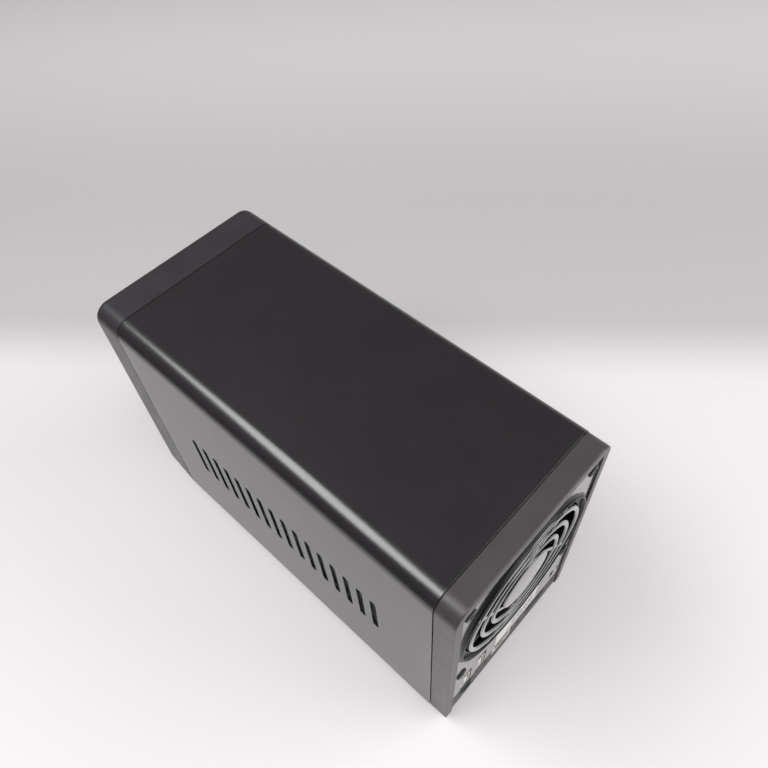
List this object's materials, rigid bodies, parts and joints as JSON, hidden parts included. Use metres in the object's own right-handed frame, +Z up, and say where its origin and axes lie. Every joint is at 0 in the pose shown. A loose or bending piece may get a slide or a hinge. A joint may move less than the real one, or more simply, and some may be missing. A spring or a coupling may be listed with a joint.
{
  "type": "network attached storage",
  "caption": "Upright desktop storage box: folded steel sleeve, plastic bezel with sliding drive trays, rear frame, ring fan guard, rear sockets and vent slots on both sides.",
  "frame": {"origin": "centre of the footprint on the surface it stands on", "axes": "+X to the right seen from the front, +Y from front to rear, +Z up"},
  "size_m": [0.1036, 0.232, 0.157],
  "materials": {
    "powder_coat": "fine textured black powder coat, satin",
    "case_plastic": "black moulded plastic, fine texture",
    "panel_coat": "smooth semi-gloss black paint",
    "gloss_black": "glossy black moulding",
    "fan_plastic": "black glass-filled plastic",
    "zinc_steel": "zinc-plated sheet steel",
    "socket_metal": "nickel-plated shell, lightly brushed",
    "black_screw": "black oxide steel",
    "drive_casting": "cast and machined aluminium",
    "sink_metal": "anodised extrusion",
    "board_green": "green solder mask",
    "socket_plastic": "black connector plastic",
    "white_plastic": "white connector plastic",
    "light_pipe": "clear frosted plastic",
    "foot_rubber": "soft black rubber",
    "label_paper": "white label stock, blank of any words"
  },
  "bodies": {
    "casing": {"outer_sleeve": "powder_coat", "base_pan": "powder_coat", "front_bezel": "case_plastic", "rear_frame": "case_plastic", "rear_panel": "panel_coat", "rear_label": "label_paper", "cage_floor": "zinc_steel", "cage_ceiling": "zinc_steel", "cage_left_wall": "zinc_steel", "cage_middle_wall": "zinc_steel", "cage_right_wall": "zinc_steel", "cage_right_leg": "zinc_steel", "fan_guard": "gloss_black", "fan_frame": "fan_plastic", "main_board": "board_green", "heat_sink": "sink_metal", "memory_module": "board_green", "coin_cell": "socket_metal", "usb_riser_board": "board_green", "backplane_board": "board_green", "sata_connector_1": "socket_plastic", "sata_connector_2": "socket_plastic", "rear_usb_shell_1": "socket_metal", "rear_usb_shell_2": "socket_metal", "rear_usb_tongue_1": "white_plastic", "rear_usb_tongue_2": "white_plastic", "lan_jack": "socket_metal", "esata_port": "socket_plastic", "power_inlet": "socket_plastic", "front_board": "board_green", "status_light": "light_pipe", "network_light": "light_pipe", "disk_1_light": "light_pipe", "disk_2_light": "light_pipe", "front_usb_shell": "socket_metal", "front_usb_tongue": "white_plastic", "foot_1": "foot_rubber", "fan_screw_1": "black_screw", "foot_2": "foot_rubber", "fan_screw_2": "black_screw", "foot_3": "foot_rubber", "fan_screw_3": "black_screw", "foot_4": "foot_rubber", "fan_screw_4": "black_screw"},
    "fan_rotor": {"fan_rotor": "fan_plastic"},
    "power_button": {"power_button": "gloss_black"},
    "copy_button": {"copy_button": "gloss_black"},
    "reset_button": {"reset_button": "socket_plastic"},
    "drive_tray_1": {"tray_face_1": "case_plastic", "tray_frame_1": "case_plastic", "hard_drive_1": "drive_casting"},
    "tray_handle_1": {"tray_handle_1": "gloss_black"},
    "tray_lock_1": {"tray_lock_1": "socket_metal"},
    "drive_tray_2": {"tray_face_2": "case_plastic", "tray_frame_2": "case_plastic", "hard_drive_2": "drive_casting"},
    "tray_handle_2": {"tray_handle_2": "gloss_black"},
    "tray_lock_2": {"tray_lock_2": "socket_metal"}
  },
  "joints": [
    {"name": "fan_spin", "type": "hinge", "parent": "casing", "child": "fan_rotor", "pos_m": [0, 0.101, 0.1018], "axis": [0, 1, 0], "continuous": true},
    {"name": "tray_1_slide", "type": "slide", "parent": "casing", "child": "drive_tray_1", "axis": [0, -1, 0], "range_m": [0, 0.165]},
    {"name": "tray_1_handle_swing", "type": "hinge", "parent": "drive_tray_1", "child": "tray_handle_1", "pos_m": [-0.0308, -0.1116, 0.1435], "axis": [-1, 0, 0], "range_deg": [0, 70]},
    {"name": "tray_1_lock_turn", "type": "hinge", "parent": "drive_tray_1", "child": "tray_lock_1", "pos_m": [-0.0308, -0.11, 0.0304], "axis": [0, 1, 0], "range_deg": [0, 90]},
    {"name": "tray_2_slide", "type": "slide", "parent": "casing", "child": "drive_tray_2", "axis": [0, -1, 0], "range_m": [0, 0.165]},
    {"name": "tray_2_handle_swing", "type": "hinge", "parent": "drive_tray_2", "child": "tray_handle_2", "pos_m": [0.0028, -0.1116, 0.1435], "axis": [-1, 0, 0], "range_deg": [0, 70]},
    {"name": "tray_2_lock_turn", "type": "hinge", "parent": "drive_tray_2", "child": "tray_lock_2", "pos_m": [0.0028, -0.11, 0.0304], "axis": [0, 1, 0], "range_deg": [0, 90]},
    {"name": "power_button_press", "type": "slide", "parent": "casing", "child": "power_button", "axis": [0, 1, 0], "range_m": [0, 0.0015], "stiffness_N_per_m": 400},
    {"name": "copy_button_press", "type": "slide", "parent": "casing", "child": "copy_button", "axis": [0, 1, 0], "range_m": [0, 0.0012], "stiffness_N_per_m": 400},
    {"name": "reset_button_press", "type": "slide", "parent": "casing", "child": "reset_button", "axis": [0, -1, 0], "range_m": [0, 0.001], "stiffness_N_per_m": 300}
  ]
}
